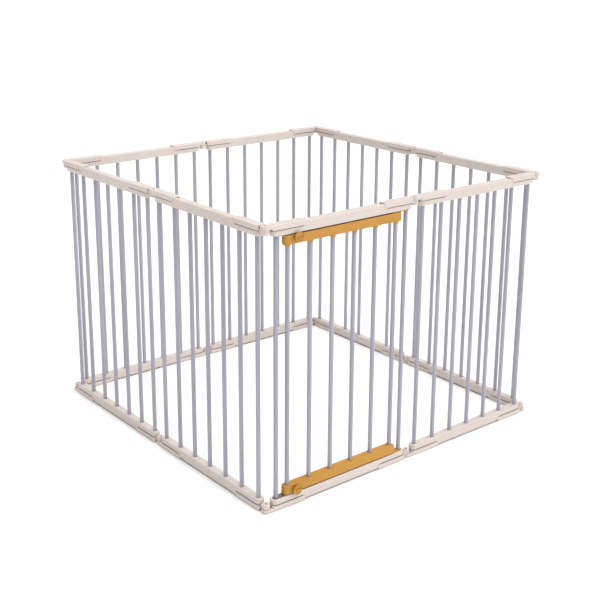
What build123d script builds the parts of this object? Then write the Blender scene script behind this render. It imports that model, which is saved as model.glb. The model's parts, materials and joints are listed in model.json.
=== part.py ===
from build123d import *
import os

# Square folding pen for pets: eight panels of steel tubes between plastic rails, two panels
# to a side, pinned together at eight vertical hinges. The front left panel holds a door leaf.
# All sizes are in millimetres. +Z is up, the door side faces -Y, and the origin is on the
# floor under the middle of the pen's overall box.

# Pen and panels
PANEL_LENGTH = 400.0  # from hinge axis to hinge axis
CLEAR_HEIGHT = 560.0  # between the bottom rail and the top rail
TUBE_COUNT = 7
TUBE_RADIUS = 4.75
TUBE_WALL = 0.8
TUBE_INSET = 25.3  # from a hinge axis to the nearest tube
TUBE_DEPTH = 16.0  # how far a tube goes into a rail
FIT_PLAY = 0.05  # radial clearance of tubes, pins and bolts in their holes

# Rails
RAIL_HEIGHT = 21.0
RAIL_WIDTH = 19.0
RAIL_INSET = 12.8  # from a hinge axis to the rail's round end
RAIL_EDGE = 2.0
DIMPLE_RADIUS = 1.3
DIMPLE_DEPTH = 0.8
DIMPLE_SHARE = 0.27  # of the tube pitch, from a tube to each dimple beside it

# Hinge caps at the rails' ends
CAP_RISE = 2.4  # above the top rail, and below the bottom rail
CAP_SIDE = 1.6  # thickness of the cap's side walls
CAP_SKIRT = 8.3  # how far the side walls come down the rail
CAP_START = 11.5  # from the hinge axis to the cap
CAP_END = 95.0
CAP_NEAR_CORNER = 5.0
CAP_FAR_CORNER = 2.0
CAP_EDGE = 1.2
GROOVE_HEIGHT = 2.0  # of the shadow groove in the rail under the skirt
GROOVE_DEPTH = 1.8
GROOVE_END = 88.0
SNAP_LENGTH = 5.0
SNAP_WIDTH = 7.0
SNAP_DEPTH = 1.5

# Hinge lugs, barrels and pins
LUG_RADIUS = 10.0
LUG_HEIGHT = 7.0
LUG_GAP = 0.4  # between the lug and the barrel
BARREL_RADIUS = 7.8
BARREL_DROP = 18.4  # from the cap's top face to the barrel's end
BARREL_ARM_WIDTH = 11.0
BARREL_ARM_DROP = 12.0  # from the rail's outer face to the arm's inner face
PIN_RADIUS = 2.5
PIN_RECESS = 3.0
OPEN_PLAY = 0.3  # radial clearance at the pivot that closes the ring

# Door leaf
LEAF_GAP = 2.4  # between a leaf rail and the panel rail beside it
LEAF_RAIL_HEIGHT = 19.2
LEAF_RAIL_WIDTH = 18.4
LEAF_START = 42.4  # from the left hinge axis to the leaf's round end
LEAF_END = 354.4
LEAF_CORNER = 2.0
LEAF_EDGE = 1.2
LEAF_TUBE_COUNT = 6
COLLAR_HEIGHT = 5.0
COLLAR_TOP_RADIUS = 7.4
COLLAR_LOW_RADIUS = 5.6

# Pivot plates and keepers, which lie in the gaps above and below the leaf
PLATE_WIDTH = 14.0
PIVOT_PLATE_CLEARANCE = 0.3
PIVOT_PLATE_REACH = 46.0  # from the post to the plate's end under the leaf rail
KEEPER_THICKNESS = 1.6
KEEPER_REACH = 9.0  # past the bolt
SCREW_RADIUS = 1.5
SCREW_HEAD_RADIUS = 2.8
SCREW_LENGTH = 10.0
SCREW_FROM_END = 8.0

# Rotary latches
KNOB_X = 73.0  # from the left hinge axis to the knob and its bolt
KNOB_RAISE = 2.5  # above the middle of the leaf's top rail, and below it at the bottom
KNOB_FLANGE_RADIUS = 6.8
KNOB_FLANGE_HEIGHT = 2.0
KNOB_NECK_RADIUS = 5.0
KNOB_RIM_RADIUS = 7.4
KNOB_REACH = 11.0  # from the leaf rail's face to the knob's end
KNOB_RIM_HEIGHT = 2.4
KNOB_GRIP_WIDTH = 5.0
KNOB_GRIP_DEPTH = 4.0
KNOB_CLEARANCE = 0.3  # between the flange and the leaf rail
SHAFT_RADIUS = 2.5
SHAFT_END = 3.6  # how near the shaft's end comes to the rail's middle
BOLT_RADIUS = 3.0
BOLT_LENGTH = 16.0
BOLT_TRAVEL = 8.0
BOLT_SINK = 0.6  # the withdrawn bolt's end lies this far inside the leaf rail
KEEPER_HOLE_RADIUS = 3.6
SOCKET_SPARE = 1.5  # depth of the socket past the thrown bolt

# Worked out from the sizes above
BOTTOM_RAIL_TOP = CAP_RISE + RAIL_HEIGHT
TOP_RAIL_UNDERSIDE = BOTTOM_RAIL_TOP + CLEAR_HEIGHT
TOP_RAIL_TOP = TOP_RAIL_UNDERSIDE + RAIL_HEIGHT
HEIGHT = TOP_RAIL_TOP + CAP_RISE
PITCH = (PANEL_LENGTH - 2 * TUBE_INSET) / (TUBE_COUNT - 1)
HALF_CAP = RAIL_WIDTH / 2 + CAP_SIDE
TUBE_XS = [TUBE_INSET + PITCH * i for i in range(TUBE_COUNT)]
POST_XS = [TUBE_XS[0], TUBE_XS[-1]]
LEAF_TUBE_XS = [TUBE_INSET + PITCH * (i + 0.5) for i in range(LEAF_TUBE_COUNT)]
LEAF_TOP = TOP_RAIL_UNDERSIDE - LEAF_GAP
LEAF_UNDERSIDE = LEAF_TOP - LEAF_RAIL_HEIGHT  # of the leaf's top rail
LEAF_FACE = -LEAF_RAIL_WIDTH / 2
KNOB_Z = LEAF_TOP - LEAF_RAIL_HEIGHT / 2 + KNOB_RAISE
KNOB_TIP = LEAF_FACE - KNOB_REACH
# The knobs stand out of the front, so the pen's middle lies behind the middle of its box.
SETBACK = (-KNOB_TIP - HALF_CAP) / 2

# Each panel's name, the hinge axis at its left end seen from outside, and its heading.
PANELS = {
    "front_left": (-PANEL_LENGTH, -PANEL_LENGTH, 0),
    "front_right": (0, -PANEL_LENGTH, 0),
    "right_front": (PANEL_LENGTH, -PANEL_LENGTH, 90),
    "right_back": (PANEL_LENGTH, 0, 90),
    "back_right": (PANEL_LENGTH, PANEL_LENGTH, 180),
    "back_left": (0, PANEL_LENGTH, 180),
    "left_back": (-PANEL_LENGTH, PANEL_LENGTH, 270),
    "left_front": (-PANEL_LENGTH, 0, 270),
}
DOOR_PANEL = "front_left"
OPEN_PIVOT_PANEL = "right_back"  # its barrels close the ring round the next panel's pins


# A panel is built along +X from the hinge axis at its left end, with its outer side at -Y.


def post(x, y, radius, low, high):
    """A vertical cylinder from one height to another."""
    return Pos(x, y, low) * Cylinder(radius, high - low, align=(Align.CENTER, Align.CENTER, Align.MIN))


def flipped(shape):
    """The same piece turned over, for the other end of the tubes."""
    return mirror(shape, about=Plane((0, 0, HEIGHT / 2), z_dir=(0, 0, 1)))


def reversed_end(shape):
    """The same piece at the panel's other end."""
    return mirror(shape, about=Plane((PANEL_LENGTH / 2, 0, 0), z_dir=(1, 0, 0)))


def both_rails(shape):
    """A piece on the top rail and its twin on the bottom rail."""
    return [shape, flipped(shape)]


def rail_blank(play=0.0):
    """The top rail without its holes: a bar with round ends and soft edges."""
    length = PANEL_LENGTH - 2 * RAIL_INSET + 2 * play
    width = RAIL_WIDTH + 2 * play
    outline = Pos(PANEL_LENGTH / 2, 0, TOP_RAIL_UNDERSIDE - play) * SlotOverall(length, width)
    bar = extrude(outline, RAIL_HEIGHT + 2 * play)
    rims = bar.faces().filter_by(Axis.Z).edges()
    return fillet(rims, RAIL_EDGE)


def skirt_groove():
    """The shadow groove round the rail's end, just under the cap's skirt."""
    length = PANEL_LENGTH - 2 * RAIL_INSET
    base = TOP_RAIL_TOP - CAP_SKIRT - GROOVE_HEIGHT
    core = SlotOverall(length - 2 * GROOVE_DEPTH, RAIL_WIDTH - 2 * GROOVE_DEPTH)
    ring = SlotOverall(length + GROOVE_DEPTH, RAIL_WIDTH + GROOVE_DEPTH) - core
    band = extrude(Pos(PANEL_LENGTH / 2, 0, base) * ring, GROOVE_HEIGHT)
    return band & Pos(GROOVE_END / 2, 0, base) * Box(GROOVE_END, 2 * RAIL_WIDTH, 3 * GROOVE_HEIGHT)


def dimple_places():
    """The small dimples along the face that the tubes enter, two between each pair of tubes."""
    places = []
    for x in TUBE_XS[:-1]:
        places += [x + DIMPLE_SHARE * PITCH, x + (1 - DIMPLE_SHARE) * PITCH]
    return places


def rail(tube_xs, dimples):
    """A top rail with its tube sockets, dimples, grooves and the windows that the caps snap into."""
    bar = rail_blank() - skirt_groove() - reversed_end(skirt_groove())
    for x in tube_xs:
        bar -= post(x, 0, TUBE_RADIUS + FIT_PLAY, TOP_RAIL_UNDERSIDE, TOP_RAIL_UNDERSIDE + TUBE_DEPTH)
    for x in dimples:
        bar -= post(x, 0, DIMPLE_RADIUS, TOP_RAIL_UNDERSIDE, TOP_RAIL_UNDERSIDE + DIMPLE_DEPTH)
    window = Pos(CAP_END + SNAP_LENGTH / 2, 0, TOP_RAIL_TOP) * Box(SNAP_LENGTH, SNAP_WIDTH, 2 * SNAP_DEPTH)
    return bar - window - reversed_end(window)


def door_panel_rail():
    """The top rail over the door, with a socket for the thrown bolt."""
    bolt_end = LEAF_TOP - BOLT_SINK + BOLT_TRAVEL
    socket = post(KNOB_X, 0, KEEPER_HOLE_RADIUS, TOP_RAIL_UNDERSIDE, bolt_end + SOCKET_SPARE)
    return rail(POST_XS, []) - socket


def tube(x, low, high):
    """A round steel tube, open at both ends."""
    return post(x, 0, TUBE_RADIUS, low, high) - post(x, 0, TUBE_RADIUS - TUBE_WALL, low, high)


def panel_tube(x):
    """A tube that runs from the bottom rail's sockets to the top rail's."""
    return tube(x, BOTTOM_RAIL_TOP - TUBE_DEPTH, TOP_RAIL_UNDERSIDE + TUBE_DEPTH)


def cap_outline():
    """The plan of a hinge cap: rounder at the hinge than at its inner end."""
    middle = (CAP_START + CAP_END) / 2
    outline = Pos(middle, 0) * Rectangle(CAP_END - CAP_START, 2 * HALF_CAP)
    outline = fillet(outline.vertices().group_by(Axis.X)[0], CAP_NEAR_CORNER)
    return fillet(outline.vertices().group_by(Axis.X)[-1], CAP_FAR_CORNER)


def soft_topped(outline, height):
    """An upright block under the cap's top face, with that face's edge rounded."""
    block = extrude(Pos(0, 0, HEIGHT - height) * outline, height)
    return fillet(block.faces().sort_by(Axis.Z)[-1].edges(), CAP_EDGE)


def lug_cap():
    """The cap at a panel's left end: a shell over the rail with the hinge's outer lug."""
    shell = soft_topped(cap_outline(), CAP_RISE + CAP_SKIRT)
    reach = CAP_START + 2 * CAP_NEAR_CORNER
    lug = Circle(LUG_RADIUS) + Pos(reach / 2, 0) * Rectangle(reach, 2 * LUG_RADIUS)
    cap = shell + soft_topped(lug, LUG_HEIGHT) - rail_blank(FIT_PLAY)
    return cap - post(0, 0, PIN_RADIUS + FIT_PLAY, HEIGHT - LUG_HEIGHT, HEIGHT)


def barrel_cap(play):
    """The cap at a panel's right end: a shell over the rail with the hinge's inner barrel."""
    shell = soft_topped(cap_outline(), CAP_RISE + CAP_SKIRT)
    barrel_top = HEIGHT - LUG_HEIGHT - LUG_GAP
    barrel_end = HEIGHT - BARREL_DROP
    arm_height = barrel_top - (TOP_RAIL_TOP - BARREL_ARM_DROP)
    arm = Pos(CAP_START / 2, 0, barrel_top - arm_height / 2) * Box(
        CAP_START + CAP_SIDE, BARREL_ARM_WIDTH, arm_height
    )
    cap = shell + arm + post(0, 0, BARREL_RADIUS, barrel_end, barrel_top) - rail_blank(FIT_PLAY)
    return reversed_end(cap - post(0, 0, PIN_RADIUS + play, barrel_end, barrel_top))


def hinge_pin():
    """The pin through a lug and the next panel's barrel, sunk a little at both ends."""
    return post(0, 0, PIN_RADIUS, HEIGHT - BARREL_DROP + PIN_RECESS, HEIGHT - PIN_RECESS)


def leaf_rail_blank():
    """The leaf's top rail without its holes: round at the latch end, square at the pivot."""
    radius = LEAF_RAIL_WIDTH / 2
    middle = (LEAF_START + LEAF_END + radius) / 2
    bar = Pos(middle, 0) * Rectangle(LEAF_END - LEAF_START - radius, LEAF_RAIL_WIDTH)
    bar = fillet(bar.vertices().group_by(Axis.X)[-1], LEAF_CORNER)
    outline = bar + Pos(LEAF_START + radius, 0) * Circle(radius)
    block = extrude(Pos(0, 0, LEAF_UNDERSIDE) * outline, LEAF_RAIL_HEIGHT)
    return fillet(block.faces().filter_by(Axis.Z).edges(), LEAF_EDGE)


def knob_axle(radius, start, end):
    """A cylinder on the knob's axis, from one distance in front of the rail's middle to another."""
    length = start - end
    return Pos(KNOB_X, (start + end) / 2, KNOB_Z) * Rot(90, 0, 0) * Cylinder(radius, length)


def leaf_rail():
    """The leaf's top rail with its tube sockets, the bolt's bore and the knob shaft's bore."""
    bar = leaf_rail_blank()
    for x in LEAF_TUBE_XS:
        bar -= post(x, 0, TUBE_RADIUS + FIT_PLAY, LEAF_UNDERSIDE, LEAF_UNDERSIDE + TUBE_DEPTH)
    bore_low = LEAF_TOP - BOLT_SINK - BOLT_LENGTH - SOCKET_SPARE / 2
    bar -= post(KNOB_X, 0, BOLT_RADIUS + FIT_PLAY, bore_low, LEAF_TOP)
    bar -= knob_axle(SHAFT_RADIUS + FIT_PLAY, -BOLT_RADIUS / 2, LEAF_FACE - FIT_PLAY)
    for x in screw_places():
        bar -= post(x, 0, SCREW_RADIUS, LEAF_TOP - SCREW_LENGTH, LEAF_TOP)
    return bar


def leaf_tube(x):
    """A tube between the leaf's rails."""
    return tube(x, HEIGHT - LEAF_UNDERSIDE - TUBE_DEPTH, LEAF_UNDERSIDE + TUBE_DEPTH)


def leaf_collar(x):
    """The tapered collar round a tube under the leaf's top rail."""
    middle = LEAF_UNDERSIDE - COLLAR_HEIGHT / 2
    cone = Pos(x, 0, middle) * Cone(COLLAR_LOW_RADIUS, COLLAR_TOP_RADIUS, COLLAR_HEIGHT)
    return cone - post(x, 0, TUBE_RADIUS + FIT_PLAY, LEAF_UNDERSIDE - COLLAR_HEIGHT, LEAF_UNDERSIDE)


def plate(start, end, low, thickness):
    """A flat plate with round ends, centred over the rail."""
    outline = Pos((start + end) / 2, 0, low) * SlotOverall(end - start, PLATE_WIDTH)
    return extrude(outline, thickness)


def screw_places():
    """Where the two screws of a pivot plate stand."""
    inner = POST_XS[1] - PIVOT_PLATE_REACH + SCREW_FROM_END
    return [inner, LEAF_END - SCREW_FROM_END]


def pivot_plate():
    """The plate on the leaf's top rail, with an eye that turns on the panel's right post."""
    thickness = LEAF_GAP - PIVOT_PLATE_CLEARANCE
    start = POST_XS[1] - PIVOT_PLATE_REACH
    body = plate(start, POST_XS[1] + PLATE_WIDTH / 2, LEAF_TOP, thickness)
    body -= post(POST_XS[1], 0, TUBE_RADIUS + FIT_PLAY, LEAF_TOP, LEAF_TOP + thickness)
    for x in screw_places():
        body -= post(x, 0, SCREW_HEAD_RADIUS, LEAF_TOP, LEAF_TOP + thickness)
    return body


def plate_screw(x):
    """A screw that holds a pivot plate to the leaf rail: its head fills the plate's hole."""
    thickness = LEAF_GAP - PIVOT_PLATE_CLEARANCE
    head = post(x, 0, SCREW_HEAD_RADIUS - FIT_PLAY, LEAF_TOP, LEAF_TOP + thickness)
    shank = post(x, 0, SCREW_RADIUS - FIT_PLAY, LEAF_TOP - SCREW_LENGTH + FIT_PLAY, LEAF_TOP)
    return head + shank


def keeper_plate():
    """The plate round the left post, with the hole that the bolt is thrown into."""
    low = TOP_RAIL_UNDERSIDE - KEEPER_THICKNESS
    body = plate(POST_XS[0] - PLATE_WIDTH / 2, KNOB_X + KEEPER_REACH, low, KEEPER_THICKNESS)
    body -= post(POST_XS[0], 0, TUBE_RADIUS + FIT_PLAY, low, TOP_RAIL_UNDERSIDE)
    return body - post(KNOB_X, 0, KEEPER_HOLE_RADIUS, low, TOP_RAIL_UNDERSIDE)


def knob():
    """The flared knob with its grip bar, and the shaft that turns in the leaf rail."""
    seat = LEAF_FACE - KNOB_CLEARANCE
    flange_top = seat - KNOB_FLANGE_HEIGHT
    rim_low = KNOB_TIP + KNOB_RIM_HEIGHT
    neck = Pos(KNOB_X, (flange_top + rim_low) / 2, KNOB_Z) * Rot(90, 0, 0) * Cone(
        KNOB_NECK_RADIUS, KNOB_RIM_RADIUS, flange_top - rim_low
    )
    body = knob_axle(KNOB_FLANGE_RADIUS, seat, flange_top) + neck
    body += knob_axle(KNOB_RIM_RADIUS, rim_low, KNOB_TIP)
    for side in (-1, 1):
        offset = side * (KNOB_GRIP_WIDTH / 2 + KNOB_RIM_RADIUS / 2)
        slab = Box(2 * KNOB_RIM_RADIUS, KNOB_GRIP_DEPTH, KNOB_RIM_RADIUS)
        body -= Pos(KNOB_X, KNOB_TIP + KNOB_GRIP_DEPTH / 2, KNOB_Z + offset) * slab
    return body + knob_axle(SHAFT_RADIUS, -SHAFT_END, seat)


def bolt():
    """The bolt that the knob throws into the panel rail, withdrawn."""
    top = LEAF_TOP - BOLT_SINK
    return post(KNOB_X, 0, BOLT_RADIUS, top - BOLT_LENGTH, top)


def panel_nodes(name):
    """Every node of one panel, as lists of separate solids in the panel's own frame."""
    is_door_panel = name == DOOR_PANEL
    top_rail = door_panel_rail() if is_door_panel else rail(TUBE_XS, dimple_places())
    play = OPEN_PLAY if name == OPEN_PIVOT_PANEL else FIT_PLAY
    nodes = {
        f"{name}_top_rail": [top_rail],
        f"{name}_bottom_rail": [flipped(top_rail)],
        f"{name}_lug_caps": both_rails(lug_cap()),
        f"{name}_barrel_caps": both_rails(barrel_cap(play)),
        f"{name}_hinge_pins": both_rails(hinge_pin()),
    }
    if is_door_panel:
        nodes["latch_post"] = [panel_tube(POST_XS[0])]
        nodes["pivot_post"] = [panel_tube(POST_XS[1])]
        nodes["keeper_plates"] = both_rails(keeper_plate())
    else:
        nodes[f"{name}_tubes"] = [panel_tube(x) for x in TUBE_XS]
    return nodes


def leaf_nodes():
    """Every node of the door leaf and its latches, in the door panel's frame."""
    top_rail, top_knob, top_bolt = leaf_rail(), knob(), bolt()
    screws = [plate_screw(x) for x in screw_places()]
    return {
        "leaf_top_rail": [top_rail],
        "leaf_bottom_rail": [flipped(top_rail)],
        "leaf_tubes": [leaf_tube(x) for x in LEAF_TUBE_XS],
        "leaf_collars": [leaf_collar(x) for x in LEAF_TUBE_XS],
        "pivot_plates": both_rails(pivot_plate()),
        "pivot_plate_screws": screws + [flipped(screw) for screw in screws],
        "top_knob": [top_knob],
        "bottom_knob": [flipped(top_knob)],
        "top_bolt": [top_bolt],
        "bottom_bolt": [flipped(top_bolt)],
    }


def write_nodes(nodes, place):
    """Writes each node's solids where they stand on the pen."""
    for node, solids in nodes.items():
        placed = [place * solid for solid in solids]
        shape = placed[0] if len(placed) == 1 else Compound(children=placed)
        export_step(shape, f"parts/{node}.step")


def placing(name):
    """Where a panel stands on the pen."""
    x, y, heading = PANELS[name]
    return Pos(x, y + SETBACK, 0) * Rot(0, 0, heading)


def main():
    os.makedirs("parts", exist_ok=True)
    for name in PANELS:
        write_nodes(panel_nodes(name), placing(name))
    write_nodes(leaf_nodes(), placing(DOOR_PANEL))


if __name__ == "__main__":
    main()
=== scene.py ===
"""Dresses the square pet pen: eight tube panels, hinge caps, a yellow door leaf and its latches."""
import json
import logging
import math
from dataclasses import dataclass, field
from enum import Enum

import bpy
from mathutils import Matrix, Vector


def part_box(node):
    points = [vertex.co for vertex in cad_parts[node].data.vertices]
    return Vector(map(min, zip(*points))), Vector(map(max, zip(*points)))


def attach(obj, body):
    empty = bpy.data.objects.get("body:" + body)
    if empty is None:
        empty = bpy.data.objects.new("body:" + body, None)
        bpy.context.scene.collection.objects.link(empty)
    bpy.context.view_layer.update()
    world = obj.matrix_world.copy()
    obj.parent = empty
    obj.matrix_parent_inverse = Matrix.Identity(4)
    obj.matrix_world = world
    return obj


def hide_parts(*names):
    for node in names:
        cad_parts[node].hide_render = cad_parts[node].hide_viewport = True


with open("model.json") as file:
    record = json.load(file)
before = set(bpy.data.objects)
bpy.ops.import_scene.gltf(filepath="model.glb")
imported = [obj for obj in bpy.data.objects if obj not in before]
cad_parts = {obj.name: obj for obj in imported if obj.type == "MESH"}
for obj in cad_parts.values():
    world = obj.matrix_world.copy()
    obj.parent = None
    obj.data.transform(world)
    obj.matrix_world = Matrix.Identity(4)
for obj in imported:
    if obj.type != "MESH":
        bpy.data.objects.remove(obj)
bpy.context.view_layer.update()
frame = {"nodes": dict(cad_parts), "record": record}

MM = 0.001

logging.basicConfig(level=logging.INFO, format="%(message)s")
log = logging.getLogger("pet_pen")


# ------------------------------------------------------------------------------ mesh helpers


class Facing(Enum):
    """Which way the faces that an operator works on look."""

    UP = (0.0, 0.0, 1.0)
    DOWN = (0.0, 0.0, -1.0)
    FRONT = (0.0, -1.0, 0.0)


def deselect_all() -> None:
    """Leaves nothing selected, so that an operator acts on the new piece alone."""
    bpy.ops.object.select_all(action="DESELECT")


def enter_edit() -> None:
    """Starts edit mode with nothing selected, in face mode."""
    bpy.ops.object.mode_set(mode="EDIT")
    bpy.ops.mesh.select_mode(type="FACE")
    bpy.ops.mesh.select_all(action="DESELECT")
    bpy.ops.object.mode_set(mode="OBJECT")


def pick_faces(piece: bpy.types.Object, facing: Facing) -> None:
    """Selects the piece's faces that look one way, and goes to edit mode.

    Args:
        piece: The mesh object being shaped.
        facing: The direction that the wanted faces look.
    """
    enter_edit()
    wanted = Vector(facing.value)
    for polygon in piece.data.polygons:
        polygon.select = polygon.normal.dot(wanted) > 0.9
    bpy.ops.object.mode_set(mode="EDIT")


def bevel_all(piece: bpy.types.Object, width: float, segments: int, angle: float = 0.6) -> None:
    """Rounds a piece's sharp edges with an applied bevel.

    Args:
        piece: The mesh object to round.
        width: Width of the rounding in metres.
        segments: Facets across the rounding.
        angle: Edges sharper than this many radians are rounded.
    """
    rounding = piece.modifiers.new("rounding", "BEVEL")
    rounding.width, rounding.segments, rounding.limit_method = width, segments, "ANGLE"
    rounding.angle_limit = angle
    bpy.context.view_layer.objects.active = piece
    bpy.ops.object.modifier_apply(modifier=rounding.name)


def settle(piece: bpy.types.Object) -> None:
    """Puts the piece's place into its mesh, closes doubles and turns its faces outwards."""
    deselect_all()
    piece.select_set(True)
    bpy.context.view_layer.objects.active = piece
    bpy.ops.object.transform_apply(location=True, rotation=True, scale=True)
    bpy.ops.object.mode_set(mode="EDIT")
    bpy.ops.mesh.select_all(action="SELECT")
    bpy.ops.mesh.remove_doubles(threshold=0.02 * MM)
    bpy.ops.mesh.normals_make_consistent(inside=False)
    bpy.ops.object.mode_set(mode="OBJECT")
    bpy.ops.object.shade_smooth_by_angle(angle=math.radians(35))


def copy_of(piece: bpy.types.Object, name: str, matrix: Matrix) -> bpy.types.Object:
    """Makes a copy with its own mesh, moved by a matrix.

    Args:
        piece: The finished piece to copy.
        name: The copy's name.
        matrix: The move, in the pen's frame.

    Returns:
        The new object, at the origin with its place in its mesh.
    """
    twin = bpy.data.objects.new(name, piece.data.copy())
    bpy.context.scene.collection.objects.link(twin)
    twin.data.transform(matrix)
    if matrix.determinant() < 0:
        twin.data.flip_normals()
    return twin


def joined(pieces: list[bpy.types.Object], name: str) -> bpy.types.Object:
    """Joins pieces into one object.

    Args:
        pieces: The mesh objects to join.
        name: The joined object's name.

    Returns:
        The joined object.
    """
    deselect_all()
    for piece in pieces:
        piece.select_set(True)
    bpy.context.view_layer.objects.active = pieces[0]
    if len(pieces) > 1:
        bpy.ops.object.join()
    pieces[0].name = name
    return pieces[0]


def finish_piece(
    piece: bpy.types.Object, body: str, finish: bpy.types.Material, nodes: tuple[str, ...]
) -> None:
    """Dresses a new piece, lets it ride on its body and hides the CAD nodes that it replaces.

    Args:
        piece: The finished mesh object.
        body: The CAD body that it moves with.
        finish: The material that it wears.
        nodes: The CAD nodes that it replaces.
    """
    piece.data.materials.clear()
    piece.data.materials.append(finish)
    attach(piece, body)
    if nodes:
        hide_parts(*nodes)
    log.info("%s rides on %s (%d faces)", piece.name, body, len(piece.data.polygons))


# ---------------------------------------------------------------------------------- finishes


@dataclass(frozen=True)
class MouldedPlastic:
    """Satin moulded plastic: fine moulding grain, faint flow marks, handling scuffs and painted shade in its
    creases and corners.
    """

    name: str
    base: tuple[float, float, float]
    shade: tuple[float, float, float]
    scuff: tuple[float, float, float]
    crevice_shade: tuple[float, float, float]
    crevice_shade_reach: float = 5 * MM
    crevice_shade_weight: float = 0.9
    roughness: tuple[float, float] = (0.42, 0.6)
    grain_scale: float = 900.0
    grain_height: float = 0.00006
    flow_scale: float = 7.0
    scuff_scale: float = 46.0
    subsurface: float = 0.06

    def build(self) -> bpy.types.Material:
        """Makes the material.

        Returns:
            A node material on Object coordinates.
        """
        graph = Graph(self.name)
        flow = graph.noise(self.flow_scale, detail=4.0, stretch=(0.4, 0.4, 2.0))
        scuffs = graph.noise(self.scuff_scale, detail=8.0)
        grain = graph.noise(self.grain_scale, detail=3.0)
        tint = graph.blend(graph.band(flow, 0.35, 0.68), self.base, self.shade)
        rubbed = graph.blend_from(graph.band(scuffs, 0.60, 0.78, top=0.35), tint, self.scuff)
        graph.shader.inputs["Subsurface Weight"].default_value = self.subsurface
        graph.shader.inputs["Subsurface Scale"].default_value = 2 * MM
        graph.shader.inputs["Specular IOR Level"].default_value = 0.45
        # Painted shade: the colour darkens towards the dark crevice colour in corners, slits and grooves, where
        # shade falls.
        painted_crevice_shade = graph.band(graph.crevice(self.crevice_shade_reach), 0.75, 0.2, top=self.crevice_shade_weight)
        graph.link(graph.blend_from(painted_crevice_shade, rubbed, self.crevice_shade), "Base Color")
        graph.link(graph.band(scuffs, 0.3, 0.75, low=self.roughness[0], top=self.roughness[1]), "Roughness")
        graph.bump(grain, self.grain_height, scuffs, self.grain_height * 2.5)
        return graph.material


@dataclass(frozen=True)
class PowderCoat:
    """Powder coated steel tube: orange peel, speckle and a soft sheen."""

    name: str
    base: tuple[float, float, float]
    shade: tuple[float, float, float]
    speck: tuple[float, float, float]
    roughness: tuple[float, float] = (0.34, 0.5)
    peel_scale: float = 620.0
    peel_height: float = 0.00005
    speck_scale: float = 1500.0

    def build(self) -> bpy.types.Material:
        """Makes the material.

        Returns:
            A node material on Object coordinates.
        """
        graph = Graph(self.name)
        cloud = graph.noise(11.0, detail=4.0, stretch=(1.0, 1.0, 0.35))
        peel = graph.noise(self.peel_scale, detail=2.0)
        specks = graph.noise(self.speck_scale, detail=1.0)
        tint = graph.blend(graph.band(cloud, 0.34, 0.66), self.base, self.shade)
        dotted = graph.blend_from(graph.band(specks, 0.66, 0.74, top=0.3), tint, self.speck)
        graph.shader.inputs["Metallic"].default_value = 0.0
        graph.shader.inputs["Coat Weight"].default_value = 0.15
        graph.shader.inputs["Coat Roughness"].default_value = 0.3
        graph.link(dotted, "Base Color")
        graph.link(graph.band(peel, 0.3, 0.7, low=self.roughness[0], top=self.roughness[1]), "Roughness")
        graph.bump(peel, self.peel_height, cloud, self.peel_height)
        return graph.material


@dataclass(frozen=True)
class WornSteel:
    """Plain steel with drawn lines, dull spots and a little oxide."""

    name: str
    base: tuple[float, float, float]
    shade: tuple[float, float, float]
    roughness: tuple[float, float] = (0.32, 0.6)
    line_scale: float = 420.0
    line_height: float = 0.00003

    def build(self) -> bpy.types.Material:
        """Makes the material.

        Returns:
            A node material on Object coordinates.
        """
        graph = Graph(self.name)
        lines = graph.noise(self.line_scale, detail=3.0, stretch=(1.0, 1.0, 0.08))
        spots = graph.noise(150.0, detail=6.0)
        tint = graph.blend(graph.band(spots, 0.45, 0.7), self.base, self.shade)
        graph.shader.inputs["Metallic"].default_value = 0.85
        graph.link(tint, "Base Color")
        graph.link(graph.band(spots, 0.3, 0.7, low=self.roughness[0], top=self.roughness[1]), "Roughness")
        graph.bump(lines, self.line_height, spots, self.line_height)
        return graph.material


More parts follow.
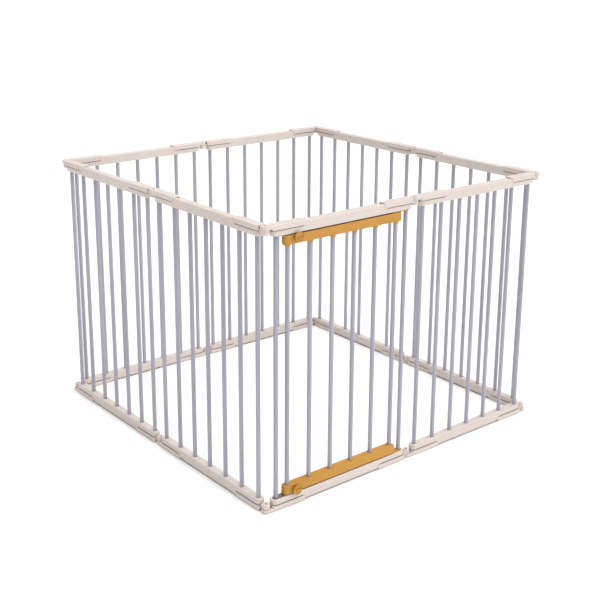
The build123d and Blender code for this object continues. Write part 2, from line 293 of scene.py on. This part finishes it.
class Graph:
    """One material's node graph, with the few patterns that the finishes share."""

    def __init__(self, name: str) -> None:
        """Starts an empty graph with a shader, an output and the object's own coordinates.

        Args:
            name: The material's name.
        """
        self.material = bpy.data.materials.new(name)
        self.material.use_nodes = True
        self.tree = self.material.node_tree
        self.tree.nodes.clear()
        output = self.tree.nodes.new("ShaderNodeOutputMaterial")
        self.shader = self.tree.nodes.new("ShaderNodeBsdfPrincipled")
        self.tree.links.new(self.shader.outputs[0], output.inputs["Surface"])
        self.place = self.tree.nodes.new("ShaderNodeTexCoord")

    def link(self, source: bpy.types.NodeSocket, target: str) -> None:
        """Feeds one of the shader's inputs."""
        self.tree.links.new(source, self.shader.inputs[target])

    def noise(
        self, scale: float, detail: float, stretch: tuple[float, float, float] = (1.0, 1.0, 1.0)
    ) -> bpy.types.NodeSocket:
        """Adds a noise pattern.

        Args:
            scale: Cells per metre, roughly.
            detail: Octaves of finer noise.
            stretch: How much each axis is squeezed before the noise.

        Returns:
            The noise's value.
        """
        mapping = self.tree.nodes.new("ShaderNodeMapping")
        mapping.inputs["Scale"].default_value = stretch
        self.tree.links.new(self.place.outputs["Object"], mapping.inputs["Vector"])
        texture = self.tree.nodes.new("ShaderNodeTexNoise")
        texture.inputs["Scale"].default_value = scale
        texture.inputs["Detail"].default_value = detail
        self.tree.links.new(mapping.outputs[0], texture.inputs["Vector"])
        return texture.outputs[0]

    def crevice(self, reach: float) -> bpy.types.NodeSocket:
        """Adds a value that falls from 1 in the open to 0 in corners and slits.

        Args:
            reach: How far from a corner it still falls, in metres.

        Returns:
            The openness.
        """
        node = self.tree.nodes.new("ShaderNodeAmbientOcclusion")
        node.samples = 8
        node.inputs["Distance"].default_value = reach
        return node.outputs["AO"]

    def band(
        self, value: bpy.types.NodeSocket, start: float, end: float, low: float = 0.0, top: float = 1.0
    ) -> bpy.types.NodeSocket:
        """Stretches part of a value's range.

        Args:
            value: The value to stretch.
            start: The value that becomes low.
            end: The value that becomes top.
            low: The result's lowest value.
            top: The result's highest value.

        Returns:
            The stretched value.
        """
        node = self.tree.nodes.new("ShaderNodeMapRange")
        for name, number in (("From Min", start), ("From Max", end), ("To Min", low), ("To Max", top)):
            node.inputs[name].default_value = number
        self.tree.links.new(value, node.inputs["Value"])
        return node.outputs["Result"]

    def blend(
        self, factor: bpy.types.NodeSocket, first: tuple[float, ...], second: tuple[float, ...]
    ) -> bpy.types.NodeSocket:
        """Mixes two colours.

        Args:
            factor: 0 for the first colour and 1 for the second.
            first: A colour.
            second: Another colour.

        Returns:
            The mixed colour.
        """
        node = self.tree.nodes.new("ShaderNodeMix")
        node.data_type = "RGBA"
        node.inputs["A"].default_value = (*first, 1.0)
        node.inputs["B"].default_value = (*second, 1.0)
        self.tree.links.new(factor, node.inputs["Factor"])
        colour = [o for o in node.outputs if o.type == "RGBA"][0]
        return colour

    def blend_from(
        self, factor: bpy.types.NodeSocket, first: bpy.types.NodeSocket, second: tuple[float, ...]
    ) -> bpy.types.NodeSocket:
        """Mixes a graph's colour with a fixed one.

        Args:
            factor: 0 for the graph's colour and 1 for the fixed one.
            first: The graph's colour.
            second: The fixed colour.

        Returns:
            The mixed colour.
        """
        colour = self.blend(factor, second, second)
        node = colour.node
        first_input = [i for i in node.inputs if i.type == "RGBA"][0]
        self.tree.links.new(first, first_input)
        return colour

    def bump(
        self, fine: bpy.types.NodeSocket, fine_height: float, broad: bpy.types.NodeSocket, broad_height: float
    ) -> None:
        """Adds two layers of relief.

        Args:
            fine: The finer pattern.
            fine_height: Its height in metres.
            broad: The broader pattern.
            broad_height: Its height in metres.
        """
        below = None
        for pattern, height in ((broad, broad_height), (fine, fine_height)):
            node = self.tree.nodes.new("ShaderNodeBump")
            node.inputs["Strength"].default_value = 0.6
            node.inputs["Distance"].default_value = height
            self.tree.links.new(pattern, node.inputs["Height"])
            if below is not None:
                self.tree.links.new(below, node.inputs["Normal"])
            below = node.outputs["Normal"]
        self.tree.links.new(below, self.shader.inputs["Normal"])


@dataclass
class FinishSet:
    """The pen's finishes, one for each of the record's material slots."""

    # Each plastic's fourth colour is the dark brown of its painted shade in crevices.
    cream: MouldedPlastic = MouldedPlastic(
        "cream_plastic", (0.70, 0.62, 0.575), (0.65, 0.565, 0.515), (0.75, 0.68, 0.635), (0.26, 0.17, 0.13)
    )
    yellow: MouldedPlastic = MouldedPlastic(
        "yellow_plastic", (0.58, 0.285, 0.04), (0.50, 0.235, 0.03), (0.66, 0.38, 0.09), (0.22, 0.085, 0.015)
    )
    tube: PowderCoat = PowderCoat("coated_tube", (0.42, 0.41, 0.475), (0.36, 0.35, 0.41), (0.56, 0.56, 0.62))
    # Dark steel, darkened further to stand in for the shade inside the hinge pin holes: part of this colour is
    # painted shade.
    pin: WornSteel = WornSteel("pin_steel", (0.06, 0.055, 0.05), (0.03, 0.028, 0.025))
    # Grey-brown, darker than bare zinc: part of this tone is painted shade, standing for the shade that the leaf
    # casts over the keeper plates.
    plate: WornSteel = WornSteel("plate_steel", (0.34, 0.30, 0.28), (0.20, 0.17, 0.15))
    made: dict[str, bpy.types.Material] = field(default_factory=dict)

    def build(self) -> None:
        """Makes every finish once."""
        for finish in (self.cream, self.yellow, self.tube, self.pin, self.plate):
            self.made[finish.name] = finish.build()

    def dress_frame(self) -> None:
        """Gives every CAD node the finish of its slot."""
        slots = {part["node"]: part["material_slot"] for part in frame["record"]["subparts"]}
        for name, node in frame["nodes"].items():
            finish = self.made[slots[name]]
            for index in range(max(1, len(node.material_slots))):
                if len(node.material_slots) <= index:
                    node.data.materials.append(finish)
                node.material_slots[index].material = finish
            log.info("%s wears %s", name, finish.name)


# -------------------------------------------------------------------------------- the pieces


@dataclass
class TubeSet:
    """The coated steel tubes of one body: thin rims at both ends, with a rolled edge."""

    name: str
    body: str
    node: str
    radius: float = 4.75 * MM
    wall: float = 0.8 * MM
    rim: float = 0.35 * MM
    sides: int = 40

    def centres(self) -> list[tuple[float, float]]:
        """Finds where the node's tubes stand.

        Returns:
            The tubes' centres in plan, in order along the panel.
        """
        low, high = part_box(self.node)
        along_x = high.x - low.x > high.y - low.y
        span = (high.x - low.x if along_x else high.y - low.y) - 2 * self.radius
        count = TUBE_COUNTS.get(self.node, PANEL_TUBES)
        steps = [span * i / (count - 1) if count > 1 else 0.0 for i in range(count)]
        middle = (low + high) / 2
        if count == 1:
            return [(middle.x, middle.y)]
        if along_x:
            return [(low.x + self.radius + step, middle.y) for step in steps]
        return [(middle.x, low.y + self.radius + step) for step in steps]

    def model(self) -> bpy.types.Object:
        """Shapes one tube: a cylinder whose ends are inset and pushed in, with rounded rims.

        Returns:
            The tube, standing at the pen's middle.
        """
        low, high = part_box(self.node)
        deselect_all()
        bpy.ops.mesh.primitive_cylinder_add(
            vertices=self.sides, radius=self.radius, depth=high.z - low.z, location=(0, 0, (low.z + high.z) / 2)
        )
        tube = bpy.context.object
        for facing, depth in ((Facing.UP, -1.0), (Facing.DOWN, 1.0)):
            pick_faces(tube, facing)
            bpy.ops.mesh.inset(thickness=self.wall)
            bpy.ops.mesh.extrude_region_move(TRANSFORM_OT_translate={"value": (0, 0, depth * 12 * MM)})
            bpy.ops.object.mode_set(mode="OBJECT")
        bevel_all(tube, self.rim, 2, angle=1.0)
        settle(tube)
        return tube

    def build(self, finish: bpy.types.Material) -> None:
        """Models one tube, copies it to each place and joins the set.

        Args:
            finish: The powder coat.
        """
        first = self.model()
        copies = [
            copy_of(first, f"{self.name}_{i}", Matrix.Translation((x, y, 0)))
            for i, (x, y) in enumerate(self.centres())
        ]
        bpy.data.objects.remove(first)
        finish_piece(joined(copies, self.name), self.body, finish, (self.node,))


@dataclass
class LatchKnob:
    """A flared rotary knob with a grip bar across its face."""

    name: str
    body: str
    node: str
    sides: int = 64
    flange_radius: float = 6.8 * MM
    neck_radius: float = 4.8 * MM
    rim_radius: float = 7.4 * MM
    flange: float = 1.8 * MM
    rim: float = 2.2 * MM
    dish: float = 1.2 * MM
    grip_width: float = 3.0 * MM
    grip_rise: float = 3.0 * MM

    def build(self, finish: bpy.types.Material) -> None:
        """Extrudes the flared body from a disc, adds the grip bar and finishes the knob.

        Args:
            finish: The yellow moulded plastic.
        """
        low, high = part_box(self.node)
        centre = (low + high) / 2
        seat = PenPlan().leaf_face - 0.3 * MM
        reach = seat - low.y
        face_depth = reach - self.grip_rise
        deselect_all()
        bpy.ops.mesh.primitive_cylinder_add(
            vertices=self.sides,
            radius=self.flange_radius,
            depth=self.flange,
            location=(centre.x, seat - self.flange / 2, centre.z),
            rotation=(math.pi / 2, 0, 0),
        )
        body = bpy.context.object
        bpy.ops.object.transform_apply(location=True, rotation=True, scale=True)
        rise = face_depth - self.flange - self.rim
        self.step(body, self.neck_radius / self.flange_radius, 0.0)
        self.step(body, (self.neck_radius + 0.5 * MM) / self.neck_radius, rise * 0.5)
        self.step(body, self.rim_radius / (self.neck_radius + 0.5 * MM), rise * 0.5)
        self.step(body, 1.0, self.rim)
        self.step(body, 0.8, 0.0)
        self.step(body, 0.94, -self.dish)
        bevel_all(body, 0.45 * MM, 3)
        settle(body)
        grip = self.grip(centre, seat - reach, seat - face_depth + self.dish)
        finish_piece(joined([body, grip], self.name), self.body, finish, (self.node,))

    def step(self, piece: bpy.types.Object, scale: float, distance: float) -> None:
        """Extrudes the front face and scales it about its own middle.

        Args:
            piece: The knob's body so far.
            scale: The new face's size over the old one's.
            distance: How far the new face moves outwards.
        """
        pick_faces(piece, Facing.FRONT)
        bpy.ops.object.mode_set(mode="OBJECT")
        front = [p for p in piece.data.polygons if p.select]
        outermost = min(p.center.y for p in front)
        for polygon in front:
            polygon.select = polygon.center.y < outermost + 0.01 * MM
        centre = next(p.center.copy() for p in front if p.select)
        bpy.ops.object.mode_set(mode="EDIT")
        bpy.ops.mesh.extrude_region_move(TRANSFORM_OT_translate={"value": (0, -distance, 0)})
        bpy.ops.transform.resize(
            value=(scale, 1, scale), center_override=(centre.x, centre.y - distance, centre.z)
        )
        bpy.ops.object.mode_set(mode="OBJECT")

    def grip(self, centre: Vector, tip: float, root: float) -> bpy.types.Object:
        """Shapes the bar that fingers turn.

        Args:
            centre: The knob's middle.
            tip: How far forward the bar reaches.
            root: Where the bar starts inside the dish.

        Returns:
            The bar, finished.
        """
        deselect_all()
        bpy.ops.mesh.primitive_cube_add(size=1, location=(centre.x, (tip + root) / 2, centre.z))
        bar = bpy.context.object
        bar.scale = (2 * self.rim_radius - 0.8 * MM, root - tip, self.grip_width)
        bpy.ops.object.transform_apply(location=True, rotation=True, scale=True)
        pick_faces(bar, Facing.FRONT)
        bpy.ops.transform.resize(value=(0.84, 1, 0.7), center_override=(centre.x, tip, centre.z))
        bpy.ops.object.mode_set(mode="OBJECT")
        bevel_all(bar, 0.7 * MM, 4)
        settle(bar)
        return bar


@dataclass
class PenPlan:
    """Where the pen's main lines lie, read from the frame."""

    panel_names: tuple[str, ...] = (
        "front_left",
        "front_right",
        "right_front",
        "right_back",
        "back_right",
        "back_left",
        "left_back",
        "left_front",
    )

    @property
    def leaf_face(self) -> float:
        """The outer face of the leaf's rails."""
        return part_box("leaf_top_rail")[0].y


PANEL_TUBES = 7
TUBE_COUNTS = {"leaf_tubes": 6, "latch_post": 1, "pivot_post": 1}


# ---------------------------------------------------------------------------------- the room


@dataclass
class Studio:
    """A plain pale floor, soft lights and the camera in front of the pen's front left corner."""

    eye: tuple[float, float, float] = (-1.6047, -1.9699, 1.1334)
    heading: float = 39.339
    pitch: float = -15.628
    roll: float = 0.334
    focal: float = 1079.95 / 600 * 36.0
    shift_y: float = -0.1
    floor_size: float = 60.0
    room_light: float = 0.4
    top_light: float = 2.6
    front_light: float = 1.0

    def camera(self) -> None:
        """Sets the camera by its heading, pitch and roll."""
        heading, pitch, roll = (math.radians(a) for a in (self.heading, self.pitch, self.roll))
        ahead = Vector(
            (math.sin(heading) * math.cos(pitch), math.cos(heading) * math.cos(pitch), math.sin(pitch))
        )
        level = ahead.cross(Vector((0, 0, 1))).normalized()
        upright = level.cross(ahead)
        right = math.cos(roll) * level + math.sin(roll) * upright
        above = math.cos(roll) * upright - math.sin(roll) * level
        data = bpy.data.cameras.new("camera")
        data.lens, data.sensor_width, data.shift_y = self.focal, 36.0, self.shift_y
        camera = bpy.data.objects.new("camera", data)
        axes = Matrix((right, above, -ahead)).transposed().to_4x4()
        camera.matrix_world = Matrix.Translation(self.eye) @ axes
        bpy.context.scene.collection.objects.link(camera)
        bpy.context.scene.camera = camera

    def floor(self) -> None:
        """Lays the pale floor just under the pen."""
        deselect_all()
        bpy.ops.mesh.primitive_plane_add(size=self.floor_size, location=(0, 0, -0.2 * MM))
        floor = bpy.context.object
        floor.name = "floor"
        graph = Graph("floor_paint")
        mottle = graph.noise(0.8, detail=3.0)
        graph.link(graph.blend(graph.band(mottle, 0.3, 0.7), (0.93, 0.93, 0.93), (0.95, 0.95, 0.95)), "Base Color")
        graph.shader.inputs["Roughness"].default_value = 0.85
        floor.data.materials.append(graph.material)

    def soft_sun(self, name: str, origin: tuple[float, float, float], strength: float, spread: float) -> None:
        """Adds a far, wide light whose shadows are very soft.

        Args:
            name: The light's name.
            origin: A point towards which the light lies.
            strength: Its light on a surface that faces it, in W/m2.
            spread: Its apparent width in degrees.
        """
        data = bpy.data.lights.new(name, "SUN")
        data.energy, data.angle = strength, math.radians(spread)
        light = bpy.data.objects.new(name, data)
        light.location = origin
        light.rotation_euler = (-Vector(origin)).to_track_quat("-Z", "Y").to_euler()
        bpy.context.scene.collection.objects.link(light)

    def surroundings(self) -> None:
        """Makes the pale room: white where the camera sees it, dimmer where it lights the pen."""
        world = bpy.data.worlds.new("white_room")
        world.use_nodes = True
        tree = world.node_tree
        glow = tree.nodes["Background"]
        glow.inputs["Color"].default_value = (1.0, 1.0, 1.0, 1.0)
        path = tree.nodes.new("ShaderNodeLightPath")
        strength = tree.nodes.new("ShaderNodeMapRange")
        strength.inputs["To Min"].default_value = self.room_light
        strength.inputs["To Max"].default_value = 1.05
        tree.links.new(path.outputs["Is Camera Ray"], strength.inputs["Value"])
        tree.links.new(strength.outputs["Result"], glow.inputs["Strength"])
        bpy.context.scene.world = world
        bpy.context.scene.view_settings.view_transform = "Standard"

    def build(self) -> None:
        """Sets the whole room."""
        self.camera()
        self.floor()
        self.surroundings()
        self.soft_sun("overhead", (0.3, -0.2, 4.0), self.top_light, 70)
        self.soft_sun("right_front", (1.6, -3.0, 1.4), self.front_light, 60)


def build_tubes(coat: bpy.types.Material) -> None:
    """Builds every panel's tubes, the door's posts and the leaf's tubes.

    Args:
        coat: The powder coat.
    """
    for panel in PenPlan().panel_names[1:]:
        TubeSet(f"{panel}_bars", f"{panel}_panel", f"{panel}_tubes").build(coat)
    TubeSet("latch_bar", "front_left_panel", "latch_post").build(coat)
    TubeSet("pivot_bar", "front_left_panel", "pivot_post").build(coat)
    TubeSet("leaf_bars", "door_leaf", "leaf_tubes").build(coat)


def main() -> None:
    """Builds the pen's dressing and the room round it."""
    finishes = FinishSet()
    finishes.build()
    finishes.dress_frame()
    build_tubes(finishes.made["coated_tube"])
    LatchKnob("top_latch_grip", "top_latch_knob", "top_knob").build(finishes.made["yellow_plastic"])
    LatchKnob("bottom_latch_grip", "bottom_latch_knob", "bottom_knob").build(finishes.made["yellow_plastic"])
    Studio().build()


if __name__ == "__main__":
    main()
